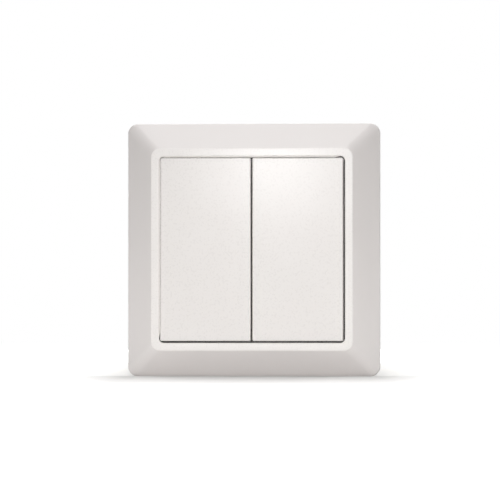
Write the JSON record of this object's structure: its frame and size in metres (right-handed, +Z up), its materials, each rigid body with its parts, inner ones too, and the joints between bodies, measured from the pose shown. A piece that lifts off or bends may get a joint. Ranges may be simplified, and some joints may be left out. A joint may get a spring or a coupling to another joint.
{
  "type": "wireless wall switch",
  "caption": "Square battery wireless wall switch with a bevelled frame, a slim raised ring and tall rockers side by side that tilt both ways to press hidden contacts.",
  "frame": {"origin": "centre of the back face, on the wall surface", "axes": "-Y out of the wall towards the user, +Z up the wall, +X to the right as seen from the front"},
  "size_m": [0.08, 0.012, 0.08],
  "materials": {
    "white_moulding": "fine satin texture",
    "plate_moulding": "plain moulding",
    "board_laminate": "green solder mask",
    "contact_base": "black moulding",
    "contact_cover": "thin steel sheet",
    "contact_plunger": "black moulding",
    "cell_can": "stainless can",
    "spring_sheet": "plated sheet",
    "chip_package": "black epoxy",
    "crystal_can": "plated can",
    "capacitor_body": "ceramic",
    "aerial_metal": "tinned copper wire",
    "screw_steel": "zinc plated"
  },
  "bodies": {
    "housing": {"back_plate": "plate_moulding", "bezel_frame": "white_moulding", "inner_frame": "white_moulding", "circuit_board": "board_laminate", "board_screws": "screw_steel", "coin_cell": "cell_can", "battery_contact": "spring_sheet", "battery_clip": "spring_sheet", "radio_chip": "chip_package", "crystal": "crystal_can", "capacitors": "capacitor_body", "antenna_wire": "aerial_metal", "switch_base_left_upper": "contact_base", "switch_cover_left_upper": "contact_cover", "switch_base_left_lower": "contact_base", "switch_cover_left_lower": "contact_cover", "switch_base_right_upper": "contact_base", "switch_cover_right_upper": "contact_cover", "switch_base_right_lower": "contact_base", "switch_cover_right_lower": "contact_cover"},
    "rocker_left_body": {"rocker_left": "white_moulding"},
    "rocker_right_body": {"rocker_right": "white_moulding"},
    "plunger_left_upper_body": {"switch_plunger_left_upper": "contact_plunger"},
    "plunger_left_lower_body": {"switch_plunger_left_lower": "contact_plunger"},
    "plunger_right_upper_body": {"switch_plunger_right_upper": "contact_plunger"},
    "plunger_right_lower_body": {"switch_plunger_right_lower": "contact_plunger"}
  },
  "joints": [
    {"name": "rocker_left_tilt", "type": "hinge", "parent": "housing", "child": "rocker_left_body", "pos_m": [-0.0146, -0.0091, 0], "axis": [1, 0, 0], "range_deg": [-2, 2], "stiffness_Nm_per_rad": 0.3},
    {"name": "rocker_right_tilt", "type": "hinge", "parent": "housing", "child": "rocker_right_body", "pos_m": [0.0146, -0.0091, 0], "axis": [1, 0, 0], "range_deg": [-2, 2], "stiffness_Nm_per_rad": 0.3},
    {"name": "plunger_left_upper_press", "type": "slide", "parent": "housing", "child": "plunger_left_upper_body", "axis": [0, 1, 0], "range_m": [-0.00024, 0.00024]},
    {"name": "plunger_left_lower_press", "type": "slide", "parent": "housing", "child": "plunger_left_lower_body", "axis": [0, 1, 0], "range_m": [-0.00024, 0.00024]},
    {"name": "plunger_right_upper_press", "type": "slide", "parent": "housing", "child": "plunger_right_upper_body", "axis": [0, 1, 0], "range_m": [-0.00024, 0.00024]},
    {"name": "plunger_right_lower_press", "type": "slide", "parent": "housing", "child": "plunger_right_lower_body", "axis": [0, 1, 0], "range_m": [-0.00024, 0.00024]}
  ],
  "couplings": [
    {"joint": "plunger_left_upper_press", "follows": "rocker_left_tilt", "m_per_rad": -0.0065},
    {"joint": "plunger_left_lower_press", "follows": "rocker_left_tilt", "m_per_rad": 0.0065},
    {"joint": "plunger_right_upper_press", "follows": "rocker_right_tilt", "m_per_rad": -0.0065},
    {"joint": "plunger_right_lower_press", "follows": "rocker_right_tilt", "m_per_rad": 0.0065}
  ]
}
